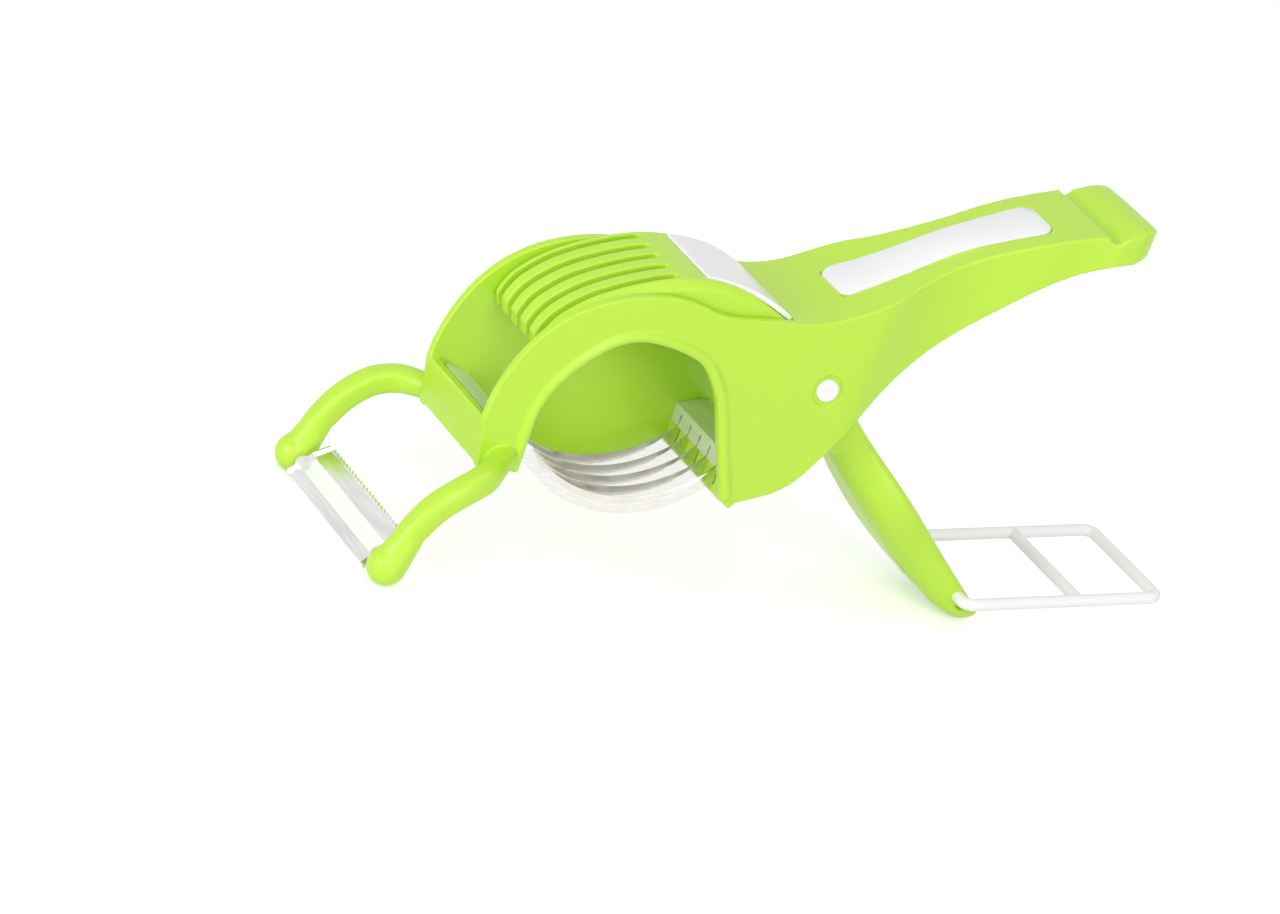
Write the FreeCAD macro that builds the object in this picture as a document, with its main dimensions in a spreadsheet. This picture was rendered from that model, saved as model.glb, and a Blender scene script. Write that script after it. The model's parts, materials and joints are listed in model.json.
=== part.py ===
import FreeCAD, Part
import math
import os
import re
import Sketcher
from FreeCAD import Placement, Rotation, Vector

# Squeeze-lever slicer with a swivel peeler and a lock bail, open and standing on a flat surface.
# While modelling, X runs to the handle's end, Y across, Z up, and the lever's pivot is along Y through 0,0,0.
# At the end every sub-part is moved alike, so that the origin is under the middle of the whole part.

SIZES = {
    # main moulding
    "head_width": 39.0, "wall": 2.5, "roof": 2.4, "side_gap": 0.4,
    "bead_width": 3.3, "bead_proud": 1.0,
    # pivot
    "pin_radius": 2.0, "pin_clearance": 0.06, "cap_radius": 3.4, "cap_height": 1.5, "cap_round": 0.9,
    "recess_radius": 4.7, "recess_depth": 0.7, "stem_radius": 1.1, "stem_length": 3.0, "hub_radius": 12.0,
    # blades, their rods, spacers, beds and holders
    "blade_pitch": 6.1, "blade_thick": 0.6, "slot_clearance": 0.12, "edge_radius": 41.4,
    "back_radius": 41.8, "tab_reach": 2.1, "tab_top": -27.6, "tab_low": -32.6,
        "rod_radius": 1.0, "rod_clearance": 0.05,
    "spacer_radius": 2.1, "spacer_clearance": 0.05, "trough_half": 2.35, "trough_floor": -33.9,
    "holder_sheet": 0.8, "holder_gap": 0.1, "holder_drop": 4.4, "holder_corner": 5.0,
    # lever
    "comb_slot": 2.4, "shoulder": 3.0, "boss_inner_half": 6.8, "coil_space": 7.6, "limb_tilt": 40.0,
    # return spring
    "wire": 1.2, "coil_radius": 4.6, "coil_turns": 4.0, "coil_pitch": 2.0,
    # peeler
    "arm_radius": 3.75, "knob_radius": 5.5, "knob_spread": 32.2, "journal_radius": 1.2,
    "journal_clearance": 0.08, "journal_length": 3.4, "cheek_half": 26.2, "sheet": 0.7, "tooth_height": 1.3,
    # lock bail
    "bail_wire": 1.75, "bail_spread": 20.5, "bail_reach": 62.5, "bail_bar": 36.5, "bail_angle": 9.1,
    "bail_corner": 3.0, "bail_hole_depth": 3.2, "bail_clearance": 0.08,
    # white inlays
    "inlay_proud": 0.5, "inlay_thick": 1.8, "inlay_gap": 0.15, "inlay_corner": 1.5,
}
BLADES = 5
TEETH = 24
WIRE_SIDES = 8

# Named points: X and Z of the side view, or X and half the width of the view from above.
POINTS = {
    # main moulding, over the top from the front bar to the lip
    "bar_foot": (-98.8, -37.0), "bar_top": (-102.0, -22.3), "brow_bend": (-100.4, -10.6),
    "brow": (-96.8, -1.2), "cheek": (-80.9, 14.6), "crown": (-59.5, 20.3), "crown_rear": (-46.0, 18.6),
    "dip": (-33.0, 17.3), "seam": (-17.4, 18.4), "neck": (-2.0, 22.0), "slope": (12.0, 29.1),
    "rise": (24.0, 36.0), "ridge": (44.0, 46.3), "grip": (62.0, 53.2), "groove_front": (73.9, 56.5),
    "groove": (76.3, 54.9), "groove_rear": (78.9, 56.9), "lip_rise": (81.6, 58.9),
    "lip_top": (87.6, 60.3), "lip_nose": (90.4, 56.8),
    # and back under the handle to the legs
    "lip_under": (88.6, 53.0), "belly_end": (72.0, 45.3), "belly": (55.0, 34.6), "waist": (34.0, 16.2),
    "hip": (14.3, -7.6), "heel": (3.6, -24.7), "heel_low": (-5.5, -33.3), "rear_leg": (-15.3, -37.3),
    "rear_tip": (-16.8, -39.3), "rear_inner": (-20.2, -37.3), "guard_low": (-53.0, -49.5),
    "front_leg": (-85.9, -36.4), "bar_inner": (-99.0, -22.3), "channel_end": (66.0, 50.0),
    # main moulding from above
    "above_head": (7.5, 19.5), "above_neck": (15.0, 17.9), "above_waist": (44.0, 13.4),
    "above_grip": (66.0, 14.9), "above_swell": (77.0, 16.3), "above_end": (82.5, 16.0),
    "above_corner": (88.6, 10.5), "above_nose": (90.7, 0.0),
    # food arch in the near wall
    "arch_front": (-86.4, -22.5), "arch_shoulder": (-82.5, -8.3), "arch_brow": (-72.9, 2.2),
    "arch_top": (-59.8, 6.4), "arch_rear": (-45.0, 3.6), "arch_bend": (-38.9, -0.4), "arch_leg": (-32.6, -9.1),
    # beds that the ends of the blades lie in, as front and rear blocks
    "front_face": (-90.1, -26.2), "front_back": (-98.9, -23.3), "front_foot": (-90.1, -35.4),
    "front_heel": (-98.9, -36.4), "rear_face": (-19.9, -26.2), "rear_back": (-11.0, -23.3),
    "rear_foot": (-19.9, -38.0), "rear_heel": (-11.0, -35.6), "front_rod": (-94.6, -30.1),
    "rear_rod": (-15.4, -30.1), "front_slot": (-89.0, -34.6), "rear_slot": (-21.0, -35.6),
    # blade: its cutting edge and its back are arcs about these centres
    "edge_centre": (-51.0, -1.9), "back_centre": (-50.5, -6.6), "edge_front": (-80.0, -31.4),
    "edge_rear": (-22.0, -31.4), "tab_front": (-90.0, -28.2), "tab_rear": (-18.6, -27.9),
    "back_front": (-78.0, -38.1), "back_rear": (-24.0, -38.9), "tab_front_low": (-90.0, -33.3),
    "tab_rear_low": (-18.6, -33.5),
    # lever: jaw over the top, underside, hub and limb
    "jaw_rear": (-17.8, 18.2), "jaw_slope": (-30.0, 23.2), "jaw_top": (-46.0, 25.2),
    "jaw_mid": (-62.0, 22.5), "jaw_brow": (-76.0, 16.8), "jaw_cheek": (-87.1, 8.7), "jaw_tip": (-91.1, 0.6),
    "jaw_foot": (-89.4, -3.2), "jaw_hollow": (-80.0, 5.6), "jaw_vault": (-68.0, 11.6),
    "jaw_vault_rear": (-57.0, 11.0), "jaw_heel": (-45.0, 4.4), "hub_front": (-30.0, 3.0),
    "hub_low": (-22.5, -3.0), "limb_under": (28.6, -34.4), "limb_belly": (45.0, -48.6),
    "limb_low": (63.5, -61.5), "limb_tip_low": (74.4, -67.9), "limb_tip": (79.6, -66.2),
    "limb_tip_top": (78.5, -61.2), "limb_upper": (53.6, -39.6), "limb_root": (16.8, -8.9),
    "jaw_rear_foot": (-17.8, 14.4), "comb_end": (-54.9, 24.0),
    # lever seen square to its limb, from the pivot along the limb
    "limb_neck": (5.5, 16.6), "limb_draw": (10.5, 14.1), "limb_waist": (16.0, 10.7),
    "limb_waist_end": (30.0, 10.7), "limb_swell": (43.0, 13.4), "limb_grip": (62.0, 15.8),
    "limb_end": (92.0, 16.0), "limb_corner": (101.0, 12.0), "limb_nose": (103.9, 0.0),
    # white inlays from above
    "jaw_inlay_front": (-46.5, 13.2), "jaw_inlay_rear": (-17.8, 16.6), "grip_inlay_front": (2.6, 8.3),
    "grip_inlay_waist": (32.0, 6.6), "grip_inlay_rear": (58.0, 8.4), "grip_inlay_nose": (60.4, 0.0),
    # peeler and bail
    "knob": (-122.9, -62.9), "bail_pin": (71.5, -58.9), "upper_strip": (-120.6, -60.2),
    "upper_edge": (-116.0, -57.7), "lower_strip": (-124.0, -63.8), "lower_edge": (-126.5, -66.4),
    "fixed_leg": (21.0, 30.2), "moving_leg": (15.5, -6.2),
}
# Middle line of the near and far peeler arm: X, half the spread, Z.
ARM_ROUTE = [(-91.6, 18.7, -33.0), (-101.0, 29.5, -35.2), (-107.5, 32.0, -38.0), (-114.5, 32.2, -44.0),
             (-119.7, 32.2, -53.0), (-122.9, 32.2, -62.9)]

doc = FreeCAD.newDocument("slicer")
sheet = doc.addObject("Spreadsheet::Sheet", "Sizes")
pieces = {}


def fill_sheet():
    """Write every driving dimension into the sheet, one aliased cell each."""
    cells = dict(SIZES)
    for name, (first, second) in POINTS.items():
        cells[name + "_x"] = first
        cells[name + "_z"] = second
    for row, (alias, number) in enumerate(cells.items(), start=1):
        sheet.set(f"A{row}", alias)
        sheet.set(f"B{row}", str(number))
        sheet.setAlias(f"B{row}", alias)
    doc.recompute()


def bound(text):
    """An expression on the sheet's cells, such as 'wall * 2', with the sheet's name put in."""
    return re.sub(r"\b([a-z][a-z_]+)\b(?!\()", r"Sizes.\1", text)


def size(text):
    """The present value of an expression on the sheet's cells."""
    return float(sheet.evalExpression(text))


def bind(thing, **expressions):
    for name, text in expressions.items():
        thing.setExpression(name, bound(text))


def bind_place(thing, across="0", depth="0", up="0"):
    for axis, text in zip("xyz", (across, depth, up)):
        if text != "0":
            thing.setExpression("Placement.Base." + axis, bound(text))


def spot(where):
    """A named point, or a pair of expressions, as a pair of expressions."""
    if isinstance(where, str):
        return where + "_x", where + "_z"
    return where


def flat(where):
    across, up = spot(where)
    return Vector(size(across), size(up), 0)


def raised(name, amount):
    """A named point moved up by an expression."""
    return name + "_x", f"{name}_z + ({amount})"


# Sketches

def hold(sketch, element, end, where):
    """Hold one end of a sketch element at a point whose coordinates come from the sheet."""
    for kind, text in zip(("DistanceX", "DistanceY"), spot(where)):
        index = sketch.addConstraint(Sketcher.Constraint(kind, -1, 1, element, end, size(text)))
        sketch.setExpression(f"Constraints[{index}]", bound(text))


def smooth_middle(begin, heading, finish):
    """The middle of the arc that leaves begin along heading and ends at finish, and its last heading."""
    chord = finish - begin
    along = Vector(chord).normalize()
    turn = math.atan2(heading.x * along.y - heading.y * along.x, heading.dot(along))
    left = Vector(-along.y, along.x, 0)
    middle = begin + chord * 0.5 - left * (chord.Length / 2 * math.tan(turn / 2))
    return middle, along * math.cos(turn) + left * math.sin(turn)


def last_heading(begin, middle, finish):
    """The direction in which an arc through three points arrives at the last."""
    first = middle - begin
    second = finish - middle
    chord = Vector(finish - begin).normalize()
    half = math.atan2(first.x * second.y - first.y * second.x, first.dot(second))
    left = Vector(-chord.y, chord.x, 0)
    return chord * math.cos(half) + left * math.sin(half)


def left_arc(begin, middle, finish):
    """The arc through three points, drawn turning left, and the numbers of its ends at begin and finish."""
    centre = Part.Arc(begin, middle, finish).toShape().Curve.Center
    turns_left = (middle - begin).cross(finish - middle).z > 0
    first, last = (begin, finish) if turns_left else (finish, begin)
    angles = [math.atan2(point.y - centre.y, point.x - centre.x) for point in (first, last)]
    if angles[1] < angles[0]:
        angles[1] += 2 * math.pi
    circle = Part.Circle(centre, Vector(0, 0, 1), (begin - centre).Length)
    return Part.ArcOfCircle(circle, *angles), (1, 2) if turns_left else (2, 1)


def draw(sketch, start, steps, closed=True):
    """A line of elements: ('to', point) is a line, ('arc', through, point) an arc through a point and
    ('flow', point) an arc that carries on smoothly from the element before it. Returns its two free ends."""
    here = start
    heading = None
    opening = None
    before = None
    for number, step in enumerate(steps):
        begin, finish = flat(here), flat(step[-1])
        if step[0] == "to":
            shape, ends = Part.LineSegment(begin, finish), (1, 2)
            heading = Vector(finish - begin).normalize()
        else:
            if step[0] == "arc":
                middle = flat(step[1])
                heading = last_heading(begin, middle, finish)
            else:
                middle, heading = smooth_middle(begin, heading, finish)
            shape, ends = left_arc(begin, middle, finish)
        element = sketch.addGeometry(shape)
        if opening is None:
            opening = (element, ends[0])
            hold(sketch, element, ends[0], here)
        else:
            kind = "Tangent" if step[0] == "flow" else "Coincident"
            sketch.addConstraint(Sketcher.Constraint(kind, *before, element, ends[0]))
        if closed and number == len(steps) - 1:
            sketch.addConstraint(Sketcher.Constraint("Coincident", element, ends[1], *opening))
        else:
            hold(sketch, element, ends[1], step[-1])
        if step[0] == "arc":
            mark = sketch.addGeometry(Part.Point(middle), True)
            hold(sketch, mark, 1, step[1])
            sketch.addConstraint(Sketcher.Constraint("PointOnObject", mark, 1, element))
        before = (element, ends[1])
        here = step[-1]
    return opening, before


def twin_outline(name, start, steps, nose):
    """An outline that is alike on both sides of its middle line and ends in an arc at nose."""
    sketch = doc.addObject("Sketcher::SketchObject", name)
    ends = []
    for side in ("1", "-1"):
        def placed(place):
            return place[0], f"{side} * ({place[1]})"
        chain = [(step[0], *(placed(place) for place in step[1:])) for step in steps]
        ends.append(draw(sketch, placed(start), chain, closed=False))
    (far_start, far_end), (near_start, near_end) = ends
    front = sketch.addGeometry(Part.LineSegment(flat(start), flat((start[0], f"-({start[1]})"))))
    last = steps[-1][-1]
    round_end, order = left_arc(flat(last), flat(nose), flat((last[0], f"-({last[1]})")))
    rear = sketch.addGeometry(round_end)
    mark = sketch.addGeometry(Part.Point(flat(nose)), True)
    hold(sketch, mark, 1, nose)
    for element, end, joined in ((front, 1, far_start), (front, 2, near_start),
                                 (rear, order[0], far_end), (rear, order[1], near_end)):
        sketch.addConstraint(Sketcher.Constraint("Coincident", element, end, *joined))
    sketch.addConstraint(Sketcher.Constraint("PointOnObject", mark, 1, rear))
    return sketch


def outline(name, start, steps, plane="side"):
    sketch = doc.addObject("Sketcher::SketchObject", name)
    draw(sketch, start, steps)
    if plane == "side":
        sketch.Placement = Placement(Vector(), Rotation(Vector(1, 0, 0), 90))
    return sketch


# Solids

def slab(name, base, low, high, plane="side"):
    """The solid of a closed outline between two levels, across Y, up Z or square to its own plane."""
    solid = doc.addObject("Part::Extrusion", name)
    solid.Base = base
    solid.DirMode = "Normal" if plane == "own" else "Custom"
    solid.Dir = Vector(0, 1, 0) if plane == "side" else Vector(0, 0, 1)
    solid.Solid = True
    bind(solid, LengthFwd=high, LengthRev=f"-({low})")
    return solid


def block(name, across, depth, up):
    """A box between two expressions along each axis."""
    solid = doc.addObject("Part::Box", name)
    sides = {"Length": across, "Width": depth, "Height": up}
    for side, (low, high) in sides.items():
        solid.setExpression(side, bound(f"({high}) - ({low})"))
    bind_place(solid, across[0], depth[0], up[0])
    return solid


def cross_bar(name, where, radius, low, high):
    """A cylinder along Y between two levels, at a named point of the side view."""
    solid = doc.addObject("Part::Cylinder", name)
    solid.Placement = Placement(Vector(), Rotation(Vector(1, 0, 0), -90))
    bind(solid, Radius=radius, Height=f"({high}) - ({low})")
    across, up = spot(where)
    bind_place(solid, across, low, up)
    return solid


def join(name, *solids, kind="Part::MultiFuse"):
    result = doc.addObject(kind, name)
    result.Shapes = list(solids)
    return result


def overlap(name, *solids):
    return join(name, *solids, kind="Part::MultiCommon")


def group(name, solids):
    """Separate like solids that share one sub-part."""
    result = doc.addObject("Part::Compound", name)
    result.Links = solids
    return result


def cut(name, base, *tools):
    result = doc.addObject("Part::Cut", name)
    result.Base = base
    result.Tool = tools[0] if len(tools) == 1 else join(name + "_tools", *tools)
    return result


def rounded(name, base, radius, wanted):
    """Round the edges that wanted picks."""
    doc.recompute()
    value = size(radius)
    picked = [n for n, edge in enumerate(base.Shape.Edges, start=1) if wanted(edge)]
    result = doc.addObject("Part::Fillet", name)
    result.Base = base
    result.Edges = [(n, value, value) for n in picked]
    return result


def plain(name, shape):
    """A solid that is worked out here from the sheet's sizes."""
    result = doc.addObject("Part::Feature", name)
    result.Shape = shape
    return result


def keep(label, solid):
    """Name a finished sub-part."""
    solid.Label = label
    pieces[label] = solid


def blade_levels():
    return [f"blade_pitch * {number - (BLADES - 1) / 2}" for number in range(BLADES)]


def rounded_route(points, share=0.45):
    """A wire of straight runs joined by tangent arcs, each as large as its two runs allow."""
    edges = []
    here = points[0]
    for before, corner, after in zip(points, points[1:], points[2:]):
        back, ahead = (before - corner).normalize(), (after - corner).normalize()
        reach = share * min((before - corner).Length, (after - corner).Length)
        start, finish = corner + back * reach, corner + ahead * reach
        bisector = (back + ahead).normalize()
        half = back.getAngle(ahead) / 2
        radius = reach * math.tan(half)
        middle = corner + bisector * (radius / math.sin(half) - radius)
        edges.append(Part.LineSegment(here, start).toShape())
        edges.append(Part.Arc(start, middle, finish).toShape())
        here = finish
    edges.append(Part.LineSegment(here, points[-1]).toShape())
    return Part.Wire(edges)


def swept_rod(route, radius, sides=0):
    """A rod along a wire, round or with a number of flat sides."""
    start = route.Edges[0]
    centre, along = start.valueAt(start.FirstParameter), start.tangentAt(start.FirstParameter)
    if sides == 0:
        return route.makePipeShell([Part.Wire(Part.Circle(centre, along, radius).toShape())], True, False)
    out = along.cross(Vector(0, 1, 0)).normalize() * radius
    corners = [centre + Rotation(along, 360 * n / sides).multVec(out) for n in range(sides)]
    return route.makePipeShell([Part.makePolygon(corners + corners[:1])], True, False)


# Main moulding

def handle_outline():
    steps = [("to", "bar_top"), ("arc", "brow_bend", "brow")]
    steps += [("flow", name) for name in ("cheek", "crown", "crown_rear", "dip", "seam", "neck", "slope",
                                          "rise", "ridge", "grip", "groove_front")]
    steps += [("arc", "groove", "groove_rear"), ("to", "lip_rise"), ("flow", "lip_top"), ("flow", "lip_nose")]
    steps += [("flow", "lip_under"), ("to", "belly_end")]
    steps += [("flow", name) for name in ("belly", "waist", "hip", "heel", "heel_low")]
    steps += [("to", "rear_leg"), ("to", "rear_tip"), ("to", "rear_inner"), ("arc", "guard_low", "front_leg")]
    return outline("handle_side", "bar_foot", steps + [("to", "bar_foot")])


def handle_from_above(name, inset):
    """The moulding's outline from above, drawn in by inset for the hollow inside it."""
    half = f"head_width / 2 - ({inset})"
    stations = ("above_neck", "above_waist", "above_grip", "above_swell", "above_end", "above_corner")
    steps = [("to", ("above_head_x", half))]
    steps += [("flow", (f"{n}_x", f"{n}_z - ({inset})")) for n in stations]
    return twin_outline(name, ("bar_top_x * 2", half), steps, (f"above_nose_x - ({inset})", "0"))


def handle_hollow():
    """The space between the walls and under the handle's roof, open above as far back as the seam."""
    low, high, front = "guard_low_z * 2", "lip_top_z", "bar_top_x * 2"
    steps = [("to", ("bar_inner_x", "bar_inner_z")), ("to", (front, "bar_inner_z")), ("to", (front, high)),
             ("to", ("seam_x", high)), ("to", raised("seam", "-roof"))]
    steps += [("to", raised("neck", "-roof"))]
    steps += [("flow", raised(n, "-roof")) for n in ("slope", "rise", "ridge", "grip")]
    steps += [("to", ("channel_end_x", "grip_z - roof")), ("to", ("channel_end_x", low))]
    side = outline("hollow_side", ("bar_inner_x", low), steps + [("to", ("bar_inner_x", low))])
    across = slab("hollow_across", side, "-head_width", "head_width")
    above = slab("hollow_above", handle_from_above("hollow_from_above", "wall"), low, high, plane="top")
    return overlap("hollow", across, above)


def arch_outline(name):
    low = "guard_low_z * 2"
    steps = [("to", ("front_leg_x", "front_leg_z")), ("to", "arch_front"), ("flow", "arch_shoulder"),
             ("flow", "arch_brow"), ("flow", "arch_top"), ("flow", "arch_rear"), ("flow", "arch_bend"),
             ("flow", "arch_leg"),
             ("to", "rear_inner"), ("to", ("rear_inner_x", low))]
    return outline(name, ("front_leg_x", low), steps + [("to", ("front_leg_x", low))])


def arch_bead(arch, side):
    """The rounded rim that stands round the food arch, cut off level with the legs."""
    doc.recompute()
    above_legs = [e for e in arch.Shape.Edges if e.BoundBox.ZMin > size("rear_inner_z * 1.02")]
    middle = Part.Wire(Part.__sortEdges__(above_legs)).makeOffset2D(size("bead_width / 2"), openResult=True)
    depth = size("head_width / 2 - bead_width / 2 + bead_proud")
    middle.translate(Vector(0, -depth, 0))
    rod = plain("bead_rod", swept_rod(middle, size("bead_width / 2")))
    return overlap("bead", rod, slab("bead_trim", side, "-head_width", "0"))


def bed(end):
    """The block at one end of the chamber that the blades' ends lie in, with its trough and slots."""
    steps = [("to", f"{end}_back"), ("to", f"{end}_heel"), ("to", f"{end}_foot"), ("to", f"{end}_face")]
    half = "head_width / 2 - wall / 2"
    solid = slab(f"{end}_bed", outline(f"{end}_bed_side", f"{end}_face", steps), f"-({half})", half)
    rod = f"{end}_rod_x"
    inner = "head_width / 2 - wall"
    trough = block(f"{end}_trough", (f"{rod} - trough_half", f"{rod} + trough_half"),
                   (f"-({inner})", inner), ("trough_floor", "0"))
    near, far = sorted((f"{end}_slot_x", rod), key=size)
    slots = [block(f"{end}_slot_{n}", (near, far), (f"{level} - blade_thick / 2 - slot_clearance",
                                                    f"{level} + blade_thick / 2 + slot_clearance"),
                   (f"{end}_slot_z", "0")) for n, level in enumerate(blade_levels(), start=1)]
    return cut(f"{end}_bed_cut", solid, trough, *slots)


def peeler_arm(side):
    route = rounded_route([Vector(x, side * y, z) for x, y, z in ARM_ROUTE])
    name = "far" if side > 0 else "near"
    arm = plain(f"peeler_arm_{name}", swept_rod(route, size("arm_radius")))
    knob = doc.addObject("Part::Sphere", f"peeler_knob_{name}")
    bind(knob, Radius="knob_radius")
    bind_place(knob, "knob_x", f"{side} * knob_spread", "knob_z")
    return [arm, knob]


def journal_hole(side):
    inner = "cheek_half / 2"
    outer = "knob_spread - knob_radius + journal_length + journal_clearance * 5"
    low, high = (inner, outer) if side > 0 else (f"-({outer})", f"-({inner})")
    name = "far" if side > 0 else "near"
    return cross_bar(f"journal_hole_{name}", "knob", "journal_radius + journal_clearance", low, high)


def pivot_seat(side):
    """The recess round the pivot on one outer face."""
    low, high = "head_width / 2 - recess_depth", "head_width"
    if side < 0:
        low, high = f"-({high})", f"-({low})"
    return cross_bar("recess_far" if side > 0 else "recess_near", ("0", "0"), "recess_radius", low, high)


def grip_inlay_solid(name, gap, low, high):
    """The white plate on the handle's top, or with a gap the pocket that it lies in."""
    def place(point):
        return f"{point}_x", f"{point}_z + ({gap})"
    turn = "inlay_corner"
    edge, side = f"grip_inlay_front_x - ({gap})", f"grip_inlay_front_z + ({gap})"
    front = (edge, f"{side} - {turn}")
    steps = [("arc", (f"{edge} + {turn} * 0.2929", f"{side} - {turn} * 0.2929"), (f"{edge} + {turn}", side)),
             ("arc", place("grip_inlay_waist"), place("grip_inlay_rear"))]
    plan = twin_outline(name + "_from_above", front, steps, (f"grip_inlay_nose_x + ({gap})", "0"))
    above = slab(name + "_above", plan, "0", "lip_top_z * 2", plane="top")
    names = ("neck", "slope", "rise", "ridge", "grip", "groove_front")
    upper = [raised(n, high) for n in names]
    lower = [raised(n, low) for n in names]
    strip = [("to", upper[1])] + [("flow", p) for p in upper[2:]]
    strip += [("to", lower[-1]), ("to", lower[-2])] + [("flow", p) for p in reversed(lower[:-2])]
    side = outline(name + "_side", upper[0], strip + [("to", upper[0])])
    return overlap(name, above, slab(name + "_across", side, "-head_width / 2", "head_width / 2"))


def upper_handle_body():
    side = handle_outline()
    half = "head_width / 2"
    across = slab("handle_across", side, f"-{half}", half)
    above = slab("handle_above", handle_from_above("handle_from_above", "0"), "guard_low_z * 2",
                 "lip_top_z * 2", plane="top")
    shell = overlap("handle_form", across, above)
    arms = peeler_arm(-1) + peeler_arm(1)
    hollowed = cut("handle_hollowed", join("handle_armed", shell, *arms), handle_hollow())
    arch = arch_outline("arch_side")
    bead = arch_bead(arch, side)
    near_wall = slab("arch_opening", arch, "-head_width", "-(head_width / 2 - wall) + side_gap")
    opened = cut("handle_opened", hollowed, near_wall)
    filled = join("handle_filled", opened, bead, bed("front"), bed("rear"))
    bore = cross_bar("pin_bore", ("0", "0"), "pin_radius + pin_clearance", "-head_width", "head_width")
    pocket = grip_inlay_solid("grip_pocket", "inlay_gap", "inlay_proud - inlay_thick", "lip_top_z")
    keep("upper_handle_body", cut("handle_done", filled, bore, pivot_seat(-1), pivot_seat(1),
                                  journal_hole(-1), journal_hole(1), pocket))


def pivot_parts():
    reach = "head_width / 2 - recess_depth"
    pin = cross_bar("pin_rod", ("0", "0"), "pin_radius", f"-({reach})", reach)
    holes = []
    for side, name in ((-1, "near"), (1, "far")):
        low, high = f"{reach} - stem_length - pin_clearance", "head_width"
        span = (low, high) if side > 0 else (f"-({high})", f"-({low})")
        holes.append(cross_bar(f"pin_end_{name}", ("0", "0"), "stem_radius + pin_clearance", *span))
        body = doc.addObject("PartDesign::Body", f"cap_{name}")
        sketch = body.newObject("Sketcher::SketchObject", f"cap_{name}_half")
        plane = [f for f in body.Origin.OriginFeatures if f.Role == "XY_Plane"][0]
        sketch.AttachmentSupport = [(plane, "")]
        sketch.MapMode = "FlatFace"
        draw(sketch, ("0", "-stem_length"), [
            ("to", ("stem_radius", "-stem_length")), ("to", ("stem_radius", "0")), ("to", ("cap_radius", "0")),
            ("to", ("cap_radius", "cap_height - cap_round")),
            ("to", ("cap_radius - cap_round * 0.4", "cap_height - cap_round * 0.3")),
            ("to", ("cap_radius - cap_round", "cap_height")),
            ("to", ("0", "cap_height")), ("to", ("0", "-stem_length"))])
        turned = body.newObject("PartDesign::Revolution", f"cap_{name}_turned")
        turned.Profile = sketch
        turned.ReferenceAxis = (sketch, ["V_Axis"])
        turned.Angle = 360
        body.Placement = Placement(Vector(), Rotation(Vector(1, 0, 0), 0 if side > 0 else 180))
        bind_place(body, depth=f"{side} * ({reach})")
        keep(f"pivot_cap_{name}", body)
    keep("pivot_pin", cut("pin_drilled", pin, *holes))


# Blade cassette

def blade(number, level):
    body = doc.addObject("PartDesign::Body", f"blade_body_{number}")
    plane = [f for f in body.Origin.OriginFeatures if f.Role == "XZ_Plane"][0]
    sketch = body.newObject("Sketcher::SketchObject", f"blade_outline_{number}")
    sketch.AttachmentSupport = [(plane, "")]
    sketch.MapMode = "FlatFace"
    front, rear = "front_rod_x - tab_reach", "rear_rod_x + tab_reach"
    draw(sketch, (front, "tab_top"), [
        ("to", "tab_front"), ("to", "edge_front"),
        ("arc", ("edge_centre_x", "edge_centre_z - edge_radius"), "edge_rear"),
        ("to", "tab_rear"), ("to", (rear, "tab_top")), ("to", (rear, "tab_low")), ("to", "tab_rear_low"),
        ("to", "back_rear"), ("arc", ("back_centre_x", "back_centre_z - back_radius"), "back_front"),
        ("to", "tab_front_low"), ("to", (front, "tab_low")), ("to", (front, "tab_top"))])
    for place in ("front_rod", "rear_rod"):
        hole = sketch.addGeometry(Part.Circle(flat(place), Vector(0, 0, 1), size("rod_radius + rod_clearance")))
        hold(sketch, hole, 3, place)
        index = sketch.addConstraint(Sketcher.Constraint("Radius", hole, size("rod_radius + rod_clearance")))
        sketch.setExpression(f"Constraints[{index}]", bound("rod_radius + rod_clearance"))
    pad = body.newObject("PartDesign::Pad", f"blade_pad_{number}")
    pad.Profile = sketch
    pad.SideType = "Symmetric"
    bind(pad, Length="blade_thick")
    bind_place(body, depth=level)
    keep(f"blade_{number}", body)


def rod_and_spacers(end):
    reach = "head_width / 2 - wall - side_gap / 2"
    where = f"{end}_rod"
    keep(f"blade_rod_{end}", cross_bar(f"{end}_rod_bar", where, "rod_radius", f"-({reach})", reach))
    edges = [f"-({reach})"]
    for level in blade_levels():
        edges += [f"{level} - blade_thick / 2 - spacer_clearance", f"{level} + blade_thick / 2 + spacer_clearance"]
    edges.append(reach)
    rings = []
    for number, (low, high) in enumerate(zip(edges[::2], edges[1::2]), start=1):
        outer = cross_bar(f"{end}_ring_{number}", where, "spacer_radius", low, high)
        inner = cross_bar(f"{end}_ring_hole_{number}", where, "rod_radius + spacer_clearance", low, high)
        rings.append(cut(f"{end}_spacer_{number}", outer, inner))
    keep(f"blade_spacers_{end}", group(f"{end}_spacers", rings))


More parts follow.
